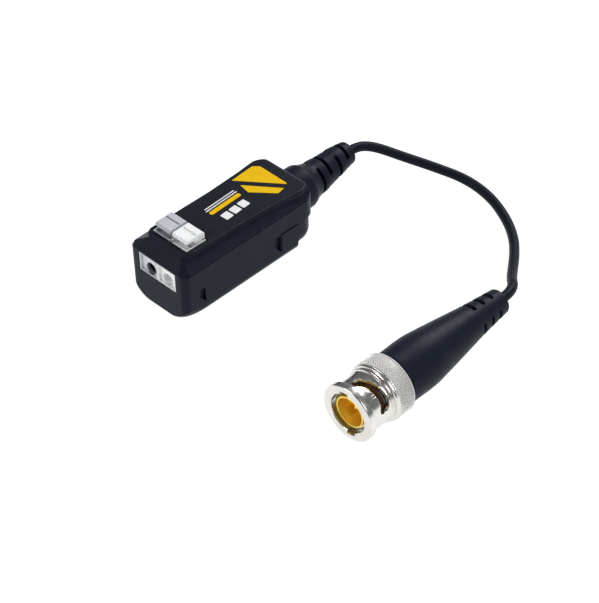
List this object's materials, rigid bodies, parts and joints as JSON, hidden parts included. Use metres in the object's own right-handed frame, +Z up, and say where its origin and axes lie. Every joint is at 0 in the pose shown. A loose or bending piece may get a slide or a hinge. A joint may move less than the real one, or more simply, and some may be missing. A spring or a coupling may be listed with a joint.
{
  "type": "passive video balun",
  "caption": "Small passive balun: a push-lever wire terminal housing joined by a short coaxial lead to a bayonet plug.",
  "frame": {"origin": "bottom centre of the housing, on the surface it stands on", "axes": "+Z up; -Y towards the wire terminals, +Y towards the cable exit; +X towards the side where the bayonet plug lies"},
  "size_m": [0.0784, 0.0851, 0.0198],
  "materials": {
    "case_black": "satin moulded",
    "terminal_grey": "satin moulded",
    "terminal_white": "satin moulded",
    "rubber_black": "soft moulded",
    "jacket_black": "smooth",
    "nickel": "nickel plated",
    "gold": "gold plated",
    "contact_metal": "tin plated",
    "spring_steel": "bright",
    "board": "coated laminate",
    "ferrite": "matt",
    "copper": "enamelled wire",
    "insulator_white": "smooth",
    "component_blue": "dipped",
    "seal": "soft"
  },
  "bodies": {
    "balun": {"lower_shell": "case_black", "upper_cover": "case_black", "circuit_board": "board", "terminal_body_grey": "terminal_grey", "terminal_body_white": "terminal_white", "contact_bar_grey": "contact_metal", "contact_bar_white": "contact_metal", "clamp_spring_grey": "spring_steel", "clamp_spring_white": "spring_steel", "choke_core": "ferrite", "choke_winding_a": "copper", "choke_winding_b": "copper", "filter_capacitor": "component_blue", "surge_arrester": "contact_metal", "chip_resistor": "board", "cable_core": "insulator_white", "shield_tail": "contact_metal", "housing_boot": "rubber_black", "coax_cable": "jacket_black", "plug_boot": "rubber_black", "crimp_ferrule": "nickel", "plug_body": "nickel", "outer_contact": "gold", "insulator": "insulator_white", "centre_pin": "gold", "gasket": "seal", "wave_washer": "spring_steel", "retaining_ring": "spring_steel"},
    "lever_grey": {"lever_grey": "terminal_grey"},
    "lever_white": {"lever_white": "terminal_white"},
    "thrust_washer": {"thrust_washer": "spring_steel"},
    "coupling_nut": {"coupling_nut": "nickel"}
  },
  "joints": [
    {"name": "lever_grey_press", "type": "hinge", "parent": "balun", "child": "lever_grey", "pos_m": [-0.00283, -0.0122, 0.0152], "axis": [1, 0, 0], "range_deg": [0, 12], "stiffness_Nm_per_rad": 0.1},
    {"name": "lever_white_press", "type": "hinge", "parent": "balun", "child": "lever_white", "pos_m": [0.00283, -0.0122, 0.0152], "axis": [1, 0, 0], "range_deg": [0, 12], "stiffness_Nm_per_rad": 0.1},
    {"name": "nut_pull", "type": "slide", "parent": "balun", "child": "thrust_washer", "axis": [0, -1, 0], "range_m": [0, 0.0008], "stiffness_N_per_m": 4000},
    {"name": "nut_turn", "type": "hinge", "parent": "thrust_washer", "child": "coupling_nut", "pos_m": [0.0613, -0.0153, 0.00741], "axis": [0, -1, 0], "continuous": true}
  ]
}
